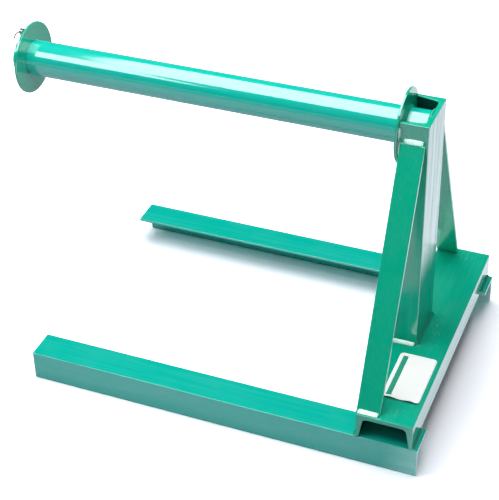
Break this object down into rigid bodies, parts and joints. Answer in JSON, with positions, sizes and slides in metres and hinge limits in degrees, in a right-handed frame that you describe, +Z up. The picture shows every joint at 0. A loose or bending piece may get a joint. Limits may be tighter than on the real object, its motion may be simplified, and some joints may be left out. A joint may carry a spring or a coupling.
{
  "type": "cable drum jack",
  "caption": "Welded floor stand with a cantilever spindle between two discs that carries a drum of cable while it is unwound.",
  "frame": {"origin": "on the floor, under the middle of the stand's length and width", "axes": "+X along the spindle from its free end to the upright, +Y across the stand from the near leg to the far leg, +Z up"},
  "size_m": [0.6438, 0.3938, 0.4492],
  "materials": {
    "green_enamel": "gloss enamel, brushed and sprayed over mill surface and weld beads",
    "bright_steel": "bright plated wire and rod"
  },
  "bodies": {
    "frame": {"near_leg": "green_enamel", "far_leg": "green_enamel", "base_channel": "green_enamel", "upright_channel": "green_enamel", "near_brace": "green_enamel", "far_brace": "green_enamel", "spindle_pipe": "green_enamel", "fixed_disc": "green_enamel", "weld_near_brace_top": "green_enamel", "weld_near_brace_foot": "green_enamel", "weld_far_brace_top": "green_enamel", "weld_far_brace_foot": "green_enamel", "weld_upright_near": "green_enamel", "weld_upright_far": "green_enamel", "weld_upright_web": "green_enamel", "weld_near_leg_outer": "green_enamel", "weld_near_leg_inner": "green_enamel", "weld_far_leg_outer": "green_enamel", "weld_far_leg_inner": "green_enamel", "weld_disc_near": "green_enamel", "weld_disc_far": "green_enamel", "weld_spindle_disc": "green_enamel", "weld_spindle_top": "green_enamel", "weld_spindle_bottom": "green_enamel"},
    "end_disc": {"retaining_disc": "green_enamel"},
    "pin": {"lock_pin": "bright_steel"},
    "ring": {"pull_ring": "bright_steel"}
  },
  "joints": [
    {"name": "disc_slide", "type": "slide", "parent": "frame", "child": "end_disc", "axis": [1, 0, 0], "range_m": [0, 0.5265]},
    {"name": "pin_draw", "type": "slide", "parent": "frame", "child": "pin", "axis": [0, 0, 1], "range_m": [0, 0.058]},
    {"name": "ring_swing", "type": "hinge", "parent": "pin", "child": "ring", "pos_m": [-0.31133, 0, 0.43653], "axis": [-1, 0, 0], "range_deg": [0, 277]}
  ]
}
